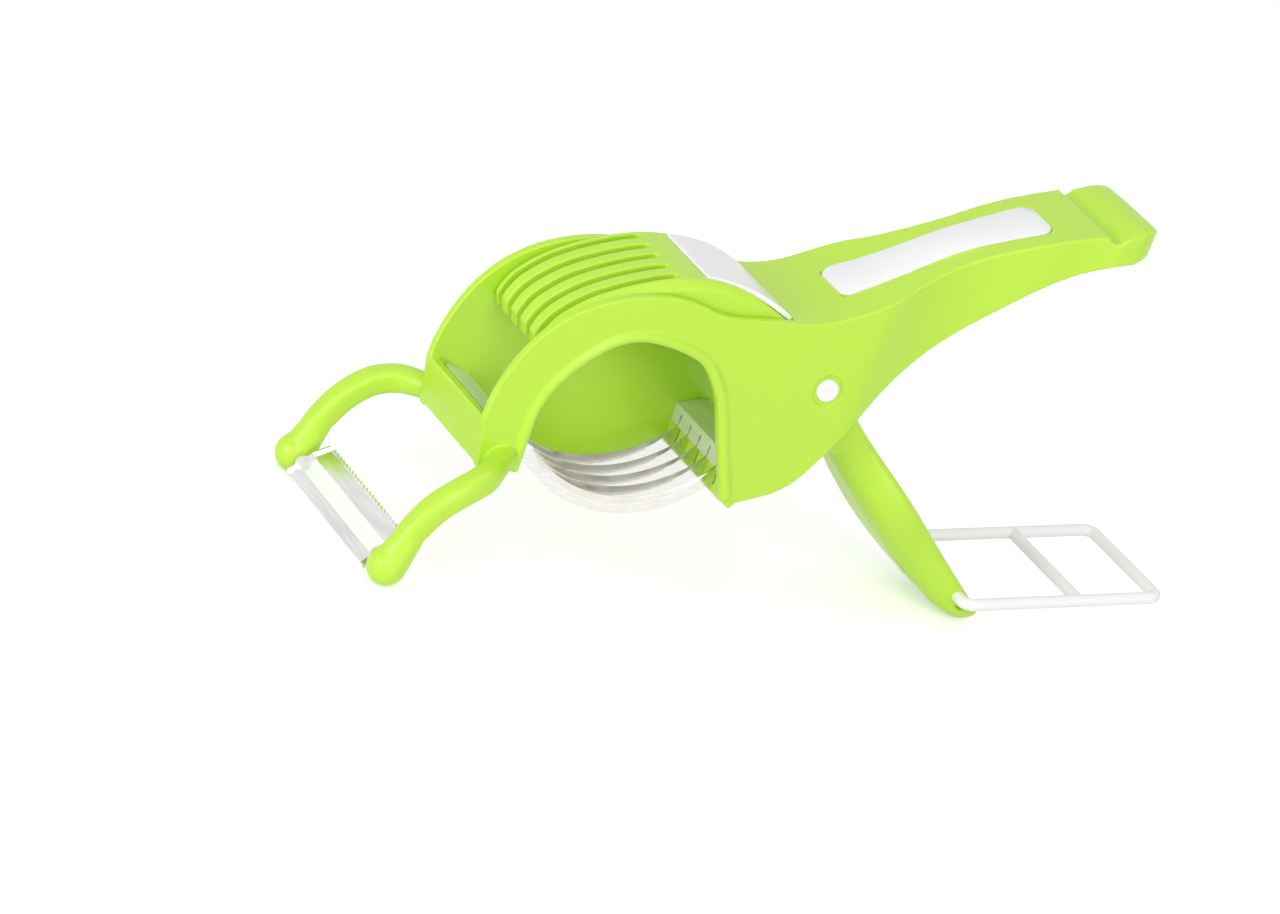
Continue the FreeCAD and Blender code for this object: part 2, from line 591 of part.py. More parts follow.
def holder(end):
    """A bent sheet over one bed: a sloping top plate, and a flange with a notch for each blade."""
    way = 1 if end == "rear" else -1
    face, back, gap = f"{end}_face", f"{end}_back", "holder_gap"
    outer = f"{face}_x - {way} * ({gap} + holder_sheet)"
    inner = f"{face}_x - {way} * {gap}"
    over = f"{gap} * 1.1"
    tip = f"{back}_x - {way} * {gap} * 2"
    steps = [("to", (inner, f"{face}_z - holder_drop")), ("to", (inner, f"{face}_z + {over}")),
             ("to", (tip, f"{back}_z + {over}")), ("to", (tip, f"{back}_z + {over} + holder_sheet")),
             ("to", (outer, f"{face}_z + {over} + holder_sheet")), ("to", (outer, f"{face}_z - holder_drop"))]
    side = outline(f"{end}_holder_side", (outer, f"{face}_z - holder_drop"), steps)
    half = "head_width / 2 - wall - side_gap / 2"
    sheet_solid = slab(f"{end}_holder_sheet", side, f"-({half})", half)
    bend, mid = "holder_corner", "holder_corner * 0.2929"
    root = f"{outer} - {way} * 1"
    corners = [(f"{tip} - {way} * {bend}", half), (tip, f"{half} - {bend}")]
    mirrored = [(x, f"-({y})") for x, y in reversed(corners)]
    plan = outline(f"{end}_holder_above", (root, half), [
        ("to", corners[0]), ("arc", (f"{tip} - {way} * {mid}", f"{half} - {mid}"), corners[1]),
        ("to", mirrored[0]), ("arc", (f"{tip} - {way} * {mid}", f"-({half} - {mid})"), mirrored[1]),
        ("to", (root, f"-({half})")), ("to", (root, half))], plane="top")
    soft = overlap(f"{end}_holder_soft", sheet_solid,
                   slab(f"{end}_holder_plan", plan, "guard_low_z", "0", plane="top"))
    low, high = sorted((f"{outer} - 1 * {way}", f"{inner} + {way} * 0.05"), key=size)
    notches = [block(f"{end}_notch_{n}", (low, high), (f"{level} - blade_thick / 2 - slot_clearance",
                                                       f"{level} + blade_thick / 2 + slot_clearance"),
                     (f"{face}_z - holder_drop * 2", "tab_top + 0.6"))
               for n, level in enumerate(blade_levels(), start=1)]
    keep(f"blade_holder_{end}", cut(f"{end}_holder", soft, *notches))


# Lever

def jaw_strip(name, low, high, gap):
    """The white plate on the jaw's top, or with a gap the pocket that it lies in."""
    def place(point, side):
        return f"{point}_x", f"{side} * ({point}_z + ({gap}))"
    front = (f"jaw_inlay_front_x - ({gap})", f"jaw_inlay_front_z + ({gap})")
    rear = ("jaw_inlay_rear_x", f"jaw_inlay_rear_z - side_gap + ({gap}) * 4")
    steps = [("to", rear), ("to", (rear[0], f"-({rear[1]})")), ("to", (front[0], f"-({front[1]})")), ("to", front)]
    above = slab(name + "_above", outline(name + "_from_above", front, steps, plane="top"), "0",
                 "lip_top_z * 2", plane="top")
    names = ("jaw_rear", "jaw_slope", "jaw_top", "jaw_mid")
    upper, lower = [raised(n, high) for n in names], [raised(n, low) for n in names]
    steps = [("arc", upper[1], upper[2]), ("flow", upper[3]), ("to", lower[3])]
    steps += [("arc", ("(jaw_mid_x + jaw_top_x) / 2", f"(jaw_mid_z + jaw_top_z) / 2 + 0.6 + ({low})"), lower[2]),
              ("arc", lower[1], lower[0]), ("to", upper[0])]
    side = outline(name + "_side", upper[0], steps)
    return overlap(name, above, slab(name + "_across", side, "-head_width / 2", "head_width / 2"))


def on_jaw_top(edge):
    """The long edges on both sides of the jaw's upper face, and of the bevel at its tip."""
    middle, box = edge.CenterOfMass, edge.BoundBox
    beside = abs(abs(middle.y) - size("head_width / 2 - wall - side_gap")) < 0.01 and box.YLength < 0.01
    above = middle.z > size("jaw_vault_z") + 1.2 or middle.x < size("jaw_cheek_x")
    return beside and above and box.XMax < size("jaw_rear_x") + 0.01 and box.XLength > 1.0


def press_lever():
    diagonal = "hub_radius * 0.7071"
    side = outline("lever_side", "jaw_rear", [
        ("arc", "jaw_slope", "jaw_top"), ("flow", "jaw_mid"), ("flow", "jaw_brow"), ("flow", "jaw_cheek"),
        ("flow", "jaw_tip"), ("to", "jaw_foot"), ("arc", "jaw_hollow", "jaw_vault"), ("flow", "jaw_vault_rear"),
        ("to", "jaw_heel"), ("to", "hub_front"), ("to", "hub_low"), ("to", (f"-{diagonal}", f"-{diagonal}")),
        ("arc", ("0", "-hub_radius"), ("hub_radius * 0.3338", "-hub_radius * 0.9426")), ("to", "limb_under"),
        ("flow", "limb_belly"), ("flow", "limb_low"), ("flow", "limb_tip_low"), ("flow", "limb_tip"),
        ("flow", "limb_tip_top"), ("to", "limb_upper"), ("to", "limb_root"),
        ("to", ("hub_radius * 0.9397", "hub_radius * 0.342")),
        ("arc", ("0", "hub_radius"), (f"-{diagonal}", diagonal)), ("to", "jaw_rear_foot"), ("to", "jaw_rear")])
    half = "head_width / 2 - wall - side_gap"
    across = slab("lever_across", side, f"-({half})", half)
    steps = [("to", ("limb_neck_x", half))]
    steps += [("to" if name == "limb_waist_end" else "flow", spot(name)) for name in (
        "limb_draw", "limb_waist", "limb_waist_end", "limb_swell", "limb_grip", "limb_end", "limb_corner")]
    plan = twin_outline("lever_from_above", ("bar_top_x * 2", half), steps, ("limb_nose_x", "limb_nose_z"))
    plan.Placement = Placement(Vector(), Rotation(Vector(0, 1, 0), size("limb_tilt")))
    above = slab("lever_above", plan, "-head_width * 3", "head_width * 3", plane="own")
    form = overlap("lever_form", across, above)
    shoulders = rounded("lever_shoulders", form, "shoulder", on_jaw_top)
    slots = [block(f"comb_{n}", ("bar_top_x * 2", "comb_end_x"), (f"{level} - comb_slot / 2",
                                                                f"{level} + comb_slot / 2"), ("-hub_radius", "comb_end_z * 2"))
             for n, level in enumerate(blade_levels(), start=1)]
    bore = cross_bar("lever_bore", ("0", "0"), "pin_radius + pin_clearance", "-head_width", "head_width")
    well = cross_bar("coil_well", ("0", "0"), "coil_space", "-boss_inner_half", "boss_inner_half")
    way_out = outline("well_side", ("0", "0"), [
        ("to", ("-coil_space * 0.5", "coil_space * 0.5")), ("to", ("-coil_space * 0.5", "hub_radius * 2")),
        ("to", ("limb_root_x * 2", "hub_radius * 2")), ("to", ("moving_leg_x + wire", "moving_leg_z - wire * 0.7")),
        ("to", ("0", "-coil_space")), ("to", ("0", "0"))])
    leg_way = slab("well_way", way_out, "-boss_inner_half", "boss_inner_half")
    holes = []
    for side in (-1, 1):
        low, high = "limb_end_z - bail_hole_depth", "head_width"
        span = (low, high) if side > 0 else (f"-({high})", f"-({low})")
        holes.append(cross_bar(f"bail_hole_{'far' if side > 0 else 'near'}", "bail_pin",
                               "bail_wire + bail_clearance", *span))
    pocket = jaw_strip("jaw_pocket", "inlay_proud - inlay_thick", "hub_radius", "inlay_gap")
    keep("press_lever", cut("lever_done", shoulders, bore, well, leg_way, pocket, *slots, *holes))


def inlays():
    keep("press_head_inlay", jaw_strip("jaw_plate", "inlay_proud - inlay_thick + inlay_gap", "inlay_proud", "0"))
    keep("handle_grip_inlay", grip_inlay_solid("grip_plate", "0", "inlay_proud - inlay_thick + inlay_gap",
                                               "inlay_proud"))


# Spring

def return_spring():
    """A torsion coil round the pin. One leg bears up under the roof, the other down on the lever."""
    radius, turns, pitch, wire = (size(n) for n in ("coil_radius", "coil_turns", "coil_pitch", "wire"))
    fixed, moving = flat("fixed_leg"), flat("moving_leg")

    def leaving(leg, sense):
        """The angle at which a tangent of the coil runs out to a leg's end."""
        return math.atan2(leg.y, leg.x) + sense * math.acos(radius / leg.Length)

    first, last = leaving(fixed, 1), leaving(moving, -1)
    sweep = last - first + 2 * math.pi * round(turns)
    steps_count = 4 * round(turns)

    def on_coil(share):
        angle = first + sweep * share
        across = pitch * sweep / (2 * math.pi) * (share - 0.5)
        return Vector(radius * math.cos(angle), across, radius * math.sin(angle))

    def direction(share):
        angle = first + sweep * share
        return Vector(-radius * math.sin(angle), pitch / (2 * math.pi), radius * math.cos(angle)).normalize()

    edges = []
    for number in range(steps_count):
        edges += biarc(on_coil(number / steps_count), direction(number / steps_count),
                       on_coil((number + 1) / steps_count), direction((number + 1) / steps_count))
    fixed_run = (Vector(fixed.x, 0, fixed.y) - Vector(on_coil(0).x, 0, on_coil(0).z)).Length
    moving_run = (Vector(moving.x, 0, moving.y) - Vector(on_coil(1).x, 0, on_coil(1).z)).Length
    start = on_coil(0) - direction(0) * fixed_run
    finish = on_coil(1) + direction(1) * moving_run
    edges.insert(0, Part.LineSegment(start, on_coil(0)).toShape())
    edges.append(Part.LineSegment(on_coil(1), finish).toShape())
    route = Part.Wire(edges)
    least = pitch * math.cos(math.atan(pitch / (2 * math.pi * radius))) - wire
    print(f"return spring: wire {wire}, least gap between turns {least:.2f} mm, length {route.Length:.1f} mm")
    keep("return_spring", plain("spring", swept_rod(route, wire / 2, WIRE_SIDES)))


def biarc(begin, heading, finish, arrival):
    """Two tangent arcs from begin along heading to finish along arrival."""
    gap = finish - begin
    both = heading + arrival
    spread = 2 * (1 - heading.dot(arrival))
    reach = (-gap.dot(both) + math.sqrt(gap.dot(both) ** 2 + 2 * spread * gap.dot(gap) / 2)) / spread
    first_apex, second_apex = begin + heading * reach, finish - arrival * reach
    joint = (first_apex + second_apex) * 0.5
    return [arc_in(begin, first_apex, joint), arc_in(joint, second_apex, finish)]


def arc_in(begin, apex, finish):
    """The arc from begin to finish whose end tangents meet at apex."""
    base = (begin + finish) * 0.5
    half = (apex - begin).getAngle(finish - apex) / 2
    middle = base + (apex - base) * (math.tan(half / 2) / math.tan(half))
    return Part.Arc(begin, middle, finish).toShape()


# Peeler blade and bail

def peeler_blade():
    half = "cheek_half - sheet / 2"

    def strip(name, low, high):
        start, finish = flat(low), flat(high)
        along = Vector(finish - start).normalize()
        left = Vector(-along.y, along.x, 0) * size("sheet / 2")
        corners = [start + left, finish + left, finish - left, start - left]
        wide = size(half)
        face = Part.Face(Part.makePolygon([Vector(c.x, -wide, c.y) for c in corners + corners[:1]]))
        return face.extrude(Vector(0, 2 * wide, 0))

    def cheek(side):
        inner, outer = size("cheek_half - sheet"), size("cheek_half")
        names = ("lower_edge", "lower_strip", "upper_strip", "upper_edge")
        line = [flat(n) for n in names]
        up, down = Vector(-0.6, 0.9, 0), Vector(0.9, -1.2, 0)
        corners = [p + up for p in line] + [p + down for p in reversed(line)]
        level = inner if side > 0 else -outer
        face = Part.Face(Part.makePolygon([Vector(c.x, level, c.y) for c in corners + corners[:1]]))
        hub = Part.makeCylinder(size("journal_radius * 2"), outer - inner,
                                Vector(size("knob_x"), level, size("knob_z")), Vector(0, 1, 0))
        return face.extrude(Vector(0, outer - inner, 0)).fuse(hub)

    def journal(side):
        start = size("cheek_half - sheet / 2")
        length = size("knob_spread - knob_radius + journal_length") - start
        return Part.makeCylinder(size("journal_radius"), length,
                                 Vector(size("knob_x"), side * start, size("knob_z")), Vector(0, side, 0))

    def ridge():
        """The row of teeth that stands on the upper strip's edge."""
        wide, tall = size("cheek_half - sheet * 3"), size("tooth_height")
        edge = flat("upper_edge")
        step = 2 * wide / TEETH
        line = [Vector(edge.x, -wide, edge.y)]
        for number in range(TEETH):
            line.append(Vector(edge.x, -wide + (number + 0.5) * step, edge.y + tall))
            line.append(Vector(edge.x, -wide + (number + 1) * step, edge.y + tall * 0.35))
        line += [Vector(edge.x, wide, edge.y), line[0]]
        return Part.Face(Part.makePolygon(line)).extrude(Vector(-size("sheet"), 0, 0))

    solid = strip("upper", "upper_strip", "upper_edge")
    solid = solid.multiFuse([strip("lower", "lower_strip", "lower_edge"), ridge(), cheek(-1), cheek(1),
                             journal(-1), journal(1)])
    keep("peeler_blade", plain("peeler", solid.removeSplitter()))


def lock_bail():
    """A wire frame with a cross bar, whose ends turn in to the lever's tip."""
    reach, spread, bar, wire = (size(n) for n in ("bail_reach", "bail_spread", "bail_bar", "bail_wire"))
    inner = size("limb_end_z - bail_hole_depth + side_gap")
    corners = [(0, inner), (0, spread), (reach, spread), (reach, -spread), (0, -spread), (0, -inner)]
    points = [Vector(across, deep, 0) for across, deep in corners]
    frame = swept_rod(rounded_bend(points, size("bail_corner")), wire)
    cross = Part.makeCylinder(wire, 2 * spread, Vector(bar, -spread, 0), Vector(0, 1, 0))
    solid = frame.fuse(cross)
    solid.rotate(Vector(), Vector(0, -1, 0), size("bail_angle"))
    solid.translate(Vector(size("bail_pin_x"), 0, size("bail_pin_z")))
    keep("lock_bail", plain("bail", solid))


def rounded_bend(points, radius):
    """Straight runs joined by quarter bends of one radius."""
    edges = []
    here = points[0]
    for before, corner, after in zip(points, points[1:], points[2:]):
        back, ahead = (before - corner).normalize(), (after - corner).normalize()
        start, finish = corner + back * radius, corner + ahead * radius
        middle = corner + (back + ahead) * (radius * (1 - math.sqrt(0.5)))
        if (start - here).Length > 1e-6:
            edges.append(Part.LineSegment(here, start).toShape())
        edges.append(Part.Arc(start, middle, finish).toShape())
        here = finish
    edges.append(Part.LineSegment(here, points[-1]).toShape())
    return Part.Wire(edges)


def build():
    fill_sheet()
    upper_handle_body()
    pivot_parts()
    for number, level in enumerate(blade_levels(), start=1):
        blade(number, level)
    for end in ("front", "rear"):
        rod_and_spacers(end)
        holder(end)
    press_lever()
    inlays()
    return_spring()
    peeler_blade()
    lock_bail()
    doc.recompute()


def check():
    failed = [o.Name for o in doc.Objects if "Invalid" in o.State or "Error" in o.State]
    for label, piece in pieces.items():
        if piece.Shape.isNull() or not piece.Shape.isValid():
            failed.append(label)
    if failed:
        raise RuntimeError("not built: " + ", ".join(failed))


def settle():
    """Move every sub-part alike, so that the origin is on the surface under the middle of the part."""
    whole = FreeCAD.BoundBox()
    for piece in pieces.values():
        whole.add(piece.Shape.optimalBoundingBox(False, False))
    shift = Vector(-whole.Center.x, -whole.Center.y, -whole.ZMin)
    for piece in pieces.values():
        for axis in "xyz":
            piece.setExpression("Placement.Base." + axis, None)
        piece.Placement = Placement(piece.Placement.Base + shift, piece.Placement.Rotation)
    for name, point in (("pivot", Vector()), ("bail pin", flat("bail_pin")), ("peeler axis", flat("knob"))):
        where = Vector(point.x, 0, point.y) + shift if name != "pivot" else shift
        print(f"{name} at {where.x:.4f}, {where.y:.4f}, {where.z:.4f} mm")
    print(f"overall {whole.XLength:.2f} x {whole.YLength:.2f} x {whole.ZLength:.2f} mm")


def write():
    os.makedirs("parts", exist_ok=True)
    for label, piece in pieces.items():
        piece.Shape.exportStep(f"parts/{label}.step")
        print(f"{label}: {len(piece.Shape.Solids)} solid(s), {piece.Shape.Volume:.1f} mm3")


build()
check()
settle()
write()
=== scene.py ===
import json
import math

import bmesh
import bpy
import numpy as np
from mathutils import Matrix, Vector
from mathutils.bvhtree import BVHTree

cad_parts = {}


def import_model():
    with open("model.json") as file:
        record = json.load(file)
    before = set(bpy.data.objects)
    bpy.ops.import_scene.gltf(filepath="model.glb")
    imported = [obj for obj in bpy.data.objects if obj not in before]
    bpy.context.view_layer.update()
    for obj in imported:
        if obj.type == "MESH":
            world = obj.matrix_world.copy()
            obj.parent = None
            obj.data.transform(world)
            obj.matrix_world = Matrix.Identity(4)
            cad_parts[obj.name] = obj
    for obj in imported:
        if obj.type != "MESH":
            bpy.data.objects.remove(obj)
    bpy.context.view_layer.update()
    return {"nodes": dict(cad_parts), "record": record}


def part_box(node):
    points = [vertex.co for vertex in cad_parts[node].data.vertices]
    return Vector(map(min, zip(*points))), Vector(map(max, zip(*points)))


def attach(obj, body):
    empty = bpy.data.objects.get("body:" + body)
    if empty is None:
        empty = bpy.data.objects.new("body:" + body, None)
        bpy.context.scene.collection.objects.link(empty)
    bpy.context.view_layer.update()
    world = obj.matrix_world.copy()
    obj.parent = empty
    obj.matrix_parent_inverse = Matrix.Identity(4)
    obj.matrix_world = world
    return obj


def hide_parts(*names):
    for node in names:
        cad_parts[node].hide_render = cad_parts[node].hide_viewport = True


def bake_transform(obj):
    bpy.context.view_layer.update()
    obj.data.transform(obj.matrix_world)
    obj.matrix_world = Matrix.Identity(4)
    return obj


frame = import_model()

NODES = frame["nodes"]
BODY_OF = {node: body for body, nodes in frame["record"]["behaviour"]["bodies"].items() for node in nodes}
SLOT_OF = {row["node"]: row["material_slot"] for row in frame["record"]["subparts"]}

# The lever's pivot in metres. The sizes below are in mm, and their places are counted from the pivot.
PIVOT = Vector((-0.0032817, 0.0, 0.0684))
MM = 0.001

# Voxel, rounds of smoothing and share of the faces kept, for the pieces rounded as a mould leaves them.
MOULDING = {"upper_handle_body": (0.33, 4, 0.2), "press_lever": (0.33, 4, 0.2),
            "press_head_inlay": (0.2, 3, 0.35), "lock_bail": (0.2, 4, 0.4)}

# Blades: side view of the upper and lower edge, and the ground edge's width at the flat ends.
BLADES = 5
BLADE_HALF, EDGE_HALF, GROUND_WIDTH, FLAT_GROUND = 0.3, 0.04, 1.9, 0.05
ARC_STEPS, TAPER_STEPS = 40, 3
UPPER_ARC = ((-51.0, -1.9), 41.4, (-80.0, -31.4), (-22.0, -31.4))
LOWER_ARC = ((-50.5, -6.6), 41.8, (-78.0, -38.1), (-24.0, -38.9))
BLADE_FRONT = [((-96.7, -27.6), (-96.7, -32.6), FLAT_GROUND), ((-90.0, -28.2), (-90.0, -33.3), FLAT_GROUND)]
BLADE_REAR = [((-18.6, -27.9), (-18.6, -33.5), FLAT_GROUND), ((-13.3, -27.6), (-13.3, -32.6), FLAT_GROUND)]
ROD_HOLES, ROD_HOLE_RADIUS, HOLE_SIDES = ((-94.6, -30.1), (-15.4, -30.1)), 1.05, 32
BLADE_SHARP, PLATE_SHARP = math.radians(12), math.radians(40)

# Plate on the handle: its ends, corners and half-widths, and the levels at which the old inlay is read.
INLAY_PROUD = 0.5
INLAY_STATIONS = np.arange(3.5, 58.0, 1.0)
PLATE_FRONT, PLATE_REAR, PLATE_CORNER = 1.4, 60.6, 3.6
PLATE_HALF = [(1.0, 8.3), (12.0, 7.6), (24.0, 6.9), (32.0, 6.7), (42.0, 7.0), (52.0, 7.9), (61.0, 8.5)]
PLATE_FIT, PLATE_STEPS, CORNER_STEPS, SOFT_EDGE = 6, 40, 8, 0.3
PLATE = {"extra": 0.0, "low": -1.2, "high": INLAY_PROUD, "edge": 0.5}
POCKET = {"extra": 0.22, "low": -1.2, "high": 3.0, "edge": 0.05}
POCKET_FILL = {"extra": 0.6, "low": -1.6, "high": -0.01, "edge": 0.02, "corner": 0.8}

# Ends drawn out lengthwise: where that starts, where they reach, half their width, corners and bow.
LIP_END = {"start": 78.0, "reach": 92.2, "half": 16.2, "corner": 6.5, "bow": 1.9}
LIMB_END = {"start": 84.0, "reach": 105.6, "half": 16.0, "corner": 4.5, "bow": 1.2}
END_CELL, END_FIT, MOST_ROUND = 0.5, 8, 0.97
LIP_TOP = [(78.9, 56.9), (81.6, 58.9), (84.5, 60.2), (86.5, 60.6), (87.6, 60.3), (89.0, 59.6), (90.0, 58.4),
           (90.4, 57.0), (90.7, 55.5)]
LIP_RAMP, LIP_FLOOR = 10.0, 47.0
BAIL_PIN, BAIL_STRETCH = (71.5, 0.0, -58.9), 1.03

# Peeler arms: near one's middle line, where arms begin, their tapers into the knobs, and where they fade to round.
ARM_LINE = [(-91.6, 18.7, -33.0), (-101.0, 29.5, -35.2), (-107.5, 32.0, -38.0), (-114.5, 32.2, -44.0),
            (-119.7, 32.2, -53.0), (-122.9, 32.2, -62.9)]
ARM_START, ARM_SPREAD, ARM_POWER, ARM_ROUNDS = -94.0, 19.5, 3, 4
NECK_LOW, NECK_HIGH, NECK_WIDE, NECK_THIN, NECK_BACK, NECK_SIDES = 2.3, 11.5, 5.0, 3.65, 0.5, 48
ROOT_FADE, KNOB_FADE, GAP_FADE = (96.0, 6.0), (7.0, 7.0), (-6.0, 1.5)
LEAST_GAP = 0.01

# Limb of the lever, in its own direction: it runs 40 degrees down.
LIMB_WAY = (math.cos(math.radians(40)), -math.sin(math.radians(40)))
LIMB_FADE = (22.0, 8.0)
UNDER_ROUNDING, OVER_ROUNDING = (8.5, 7.5), (2.5, 2.0)
TIP_BAND = 4.0


def limb_line(points):
    """Points of the side view as their distance along the limb and their level across it."""
    return [(x * LIMB_WAY[0] + z * LIMB_WAY[1], x * LIMB_WAY[1] - z * LIMB_WAY[0]) for x, z in points]


LIMB_UNDER = limb_line([(4.0, -11.3), (28.6, -34.4), (45.0, -48.6), (63.5, -61.5), (74.4, -67.9)])
LIMB_OVER = limb_line([(16.8, -8.9), (53.6, -39.6), (78.5, -61.2)])
LIMB_HALF = [(10.5, 14.1), (16.0, 10.7), (30.0, 10.7), (43.0, 13.4), (62.0, 15.8), (104.0, 16.0)]

# Studio, in metres and watts. Each lamp has its name, place, power, width and height.
FLOOR_SIZE, FLOOR_GAP, FLOOR_GREY = 6.0, 0.0002, 0.86
AMBIENT = 0.45
LAMPS = [("key", (-0.6, -1.3, 1.0), 11.0, 1.2, 0.9), ("top", (0.1, 0.2, 1.4), 2.5, 1.2, 1.2),
         ("front", (-1.5, -0.3, 0.35), 10.0, 1.0, 0.9), ("side", (0.5, -1.6, 0.35), 4.0, 0.9, 0.8)]
LAMP_TARGET = Vector((-0.02, 0, 0.06))

# Camera: its axes, its place in mm from the pivot, and its lens.
CAMERA_RIGHT = Vector((0.8415, -0.4226, 0.3366))
CAMERA_UP = Vector((-0.1145, 0.4695, 0.8755))
CAMERA_AHEAD = Vector((0.5281, 0.7752, -0.3467))
CAMERA_PLACE = Vector((-977.1, -1379.9, 581.2))
CAMERA_LENS, CAMERA_SENSOR, CAMERA_CLIP = 181.4, 36.0, 20.0


# Materials

def node_tree(name):
    material = bpy.data.materials.new(name)
    material.use_nodes = True
    tree = material.node_tree
    return material, tree, tree.nodes["Principled BSDF"]


def noise(tree, scale, detail=3.0, stretch=(1, 1, 1)):
    """A noise texture in object space, stretched along the axes."""
    place = tree.nodes.new("ShaderNodeTexCoord")
    mapping = tree.nodes.new("ShaderNodeMapping")
    mapping.inputs["Scale"].default_value = stretch
    texture = tree.nodes.new("ShaderNodeTexNoise")
    texture.inputs["Scale"].default_value = scale
    texture.inputs["Detail"].default_value = detail
    tree.links.new(place.outputs["Object"], mapping.inputs["Vector"])
    tree.links.new(mapping.outputs["Vector"], texture.inputs["Vector"])
    return texture.outputs["Fac"]


def ramp(tree, source, low, high, stops=(0.35, 0.65)):
    """Turns a noise value into a colour or a grey between low and high."""
    result = tree.nodes.new("ShaderNodeValToRGB")
    for element, place, value in zip(result.color_ramp.elements, stops, (low, high)):
        element.position = place
        element.color = (*value, 1) if isinstance(value, tuple) else (value, value, value, 1)
    tree.links.new(source, result.inputs["Fac"])
    return result.outputs["Color"]


def bump(tree, shader, source, strength, distance):
    result = tree.nodes.new("ShaderNodeBump")
    result.inputs["Strength"].default_value = strength
    result.inputs["Distance"].default_value = distance
    tree.links.new(source, result.inputs["Height"])
    tree.links.new(result.outputs["Normal"], shader.inputs["Normal"])


def plastic(name, deep, pale, rough, scatter):
    """Moulded plastic: slow drift of colour, fine satin grain, and light that sinks in a little."""
    material, tree, shader = node_tree(name)
    drift = noise(tree, scale=5.0, detail=0.0)
    tree.links.new(ramp(tree, drift, deep, pale, (0.0, 1.0)), shader.inputs["Base Color"])
    satin = noise(tree, scale=700.0, detail=2.0)
    tree.links.new(ramp(tree, satin, rough - 0.03, rough + 0.04, (0.1, 0.9)), shader.inputs["Roughness"])
    bump(tree, shader, noise(tree, scale=2600.0, detail=2.0), strength=0.04, distance=0.00004)
    shader.inputs["IOR"].default_value = 1.49
    shader.inputs["Subsurface Weight"].default_value = scatter
    shader.inputs["Subsurface Radius"].default_value = (0.6, 1.0, 0.2)
    shader.inputs["Subsurface Scale"].default_value = 0.0015
    return material


def metal(name, dark, light, rough, scale, stretch, metallic=1.0):
    """Rolled or drawn steel, with fine scratches along the grain."""
    material, tree, shader = node_tree(name)
    grain = noise(tree, scale, 4.0, stretch)
    tree.links.new(ramp(tree, grain, dark, light), shader.inputs["Base Color"])
    tree.links.new(ramp(tree, grain, rough, rough + 0.12), shader.inputs["Roughness"])
    bump(tree, shader, grain, strength=0.08, distance=0.00003)
    shader.inputs["Metallic"].default_value = metallic
    return material


GREEN = plastic("lime_plastic", (0.49, 0.78, 0.045), (0.52, 0.81, 0.055), rough=0.30, scatter=0.12)
WHITE = plastic("white_plastic_gloss", (0.885, 0.885, 0.89), (0.90, 0.90, 0.905), rough=0.24, scatter=0.06)
BLADE_STEEL = metal("blade_sheet", (0.70, 0.69, 0.68), (0.80, 0.79, 0.78), rough=0.10, scale=300.0,
                    stretch=(1, 1, 14))
STEEL = metal("rod_steel", (0.58, 0.58, 0.59), (0.72, 0.72, 0.73), rough=0.22, scale=400.0, stretch=(1, 8, 1))
GROUND_STEEL = metal("ground_edge", (0.66, 0.63, 0.59), (0.71, 0.68, 0.64), rough=0.26, scale=150.0,
                     stretch=(1, 1, 2))
HOLDER_STEEL = metal("holder_sheet", (0.78, 0.78, 0.77), (0.86, 0.86, 0.85), rough=0.36, scale=250.0,
                     stretch=(1, 0.2, 1), metallic=0.55)
PEELER_STEEL = metal("peeler_sheet", (0.71, 0.71, 0.71), (0.81, 0.81, 0.80), rough=0.14, scale=600.0,
                     stretch=(1, 0.12, 1))
MATERIAL_OF = {"green_plastic": GREEN, "white_plastic": WHITE, "blade_steel": BLADE_STEEL, "steel": STEEL}
NODE_MATERIAL = {"blade_holder_front": HOLDER_STEEL, "blade_holder_rear": HOLDER_STEEL,
                 "peeler_blade": PEELER_STEEL}


# Tools for pieces and meshes

def new_object(name, data):
    thing = bpy.data.objects.new(name, data)
    bpy.context.scene.collection.objects.link(thing)
    return thing


def finish_piece(piece, node):
    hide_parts(node)
    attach(piece, BODY_OF[node])


def apply_modifiers(piece):
    """Bakes the modifiers of a piece into its mesh."""
    bpy.context.view_layer.update()
    final = bpy.data.meshes.new_from_object(piece.evaluated_get(bpy.context.evaluated_depsgraph_get()))
    piece.modifiers.clear()
    piece.data = final


def cut_away(piece, mesh):
    """Cuts the space of a closed mesh out of a piece."""
    tool = new_object("cutter", mesh)
    hole = piece.modifiers.new("hole", "BOOLEAN")
    hole.object = tool
    hole.solver = "EXACT"
    apply_modifiers(piece)
    bpy.data.objects.remove(tool)


def skinned(name, sections, sharp, ground=()):
    """A closed mesh through rings of points. The strips numbered in ground get the second material."""
    bm = bmesh.new()
    rings = [[bm.verts.new(point) for point in section] for section in sections]
    for one, other in zip(rings, rings[1:]):
        for n in range(len(one)):
            face = bm.faces.new((one[n], one[n - 1], other[n - 1], other[n]))
            face.material_index = 1 if n in ground else 0
    bm.faces.new(rings[0])
    bm.faces.new(list(reversed(rings[-1])))
    bmesh.ops.recalc_face_normals(bm, faces=bm.faces)
    for face in bm.faces:
        face.smooth = True
    mesh = bpy.data.meshes.new(name)
    bm.to_mesh(mesh)
    mesh.set_sharp_from_angle(angle=sharp)
    return mesh


def faded(values, begin, run):
    """0 before begin, 1 after run, and even between."""
    return np.clip((values - begin) / run, 0.0, 1.0)


def round_in(inside):
    """How far a quarter circle has drawn in, from 0 where it starts to 1 at its end."""
    return 1 - np.sqrt(1 - inside ** 2)


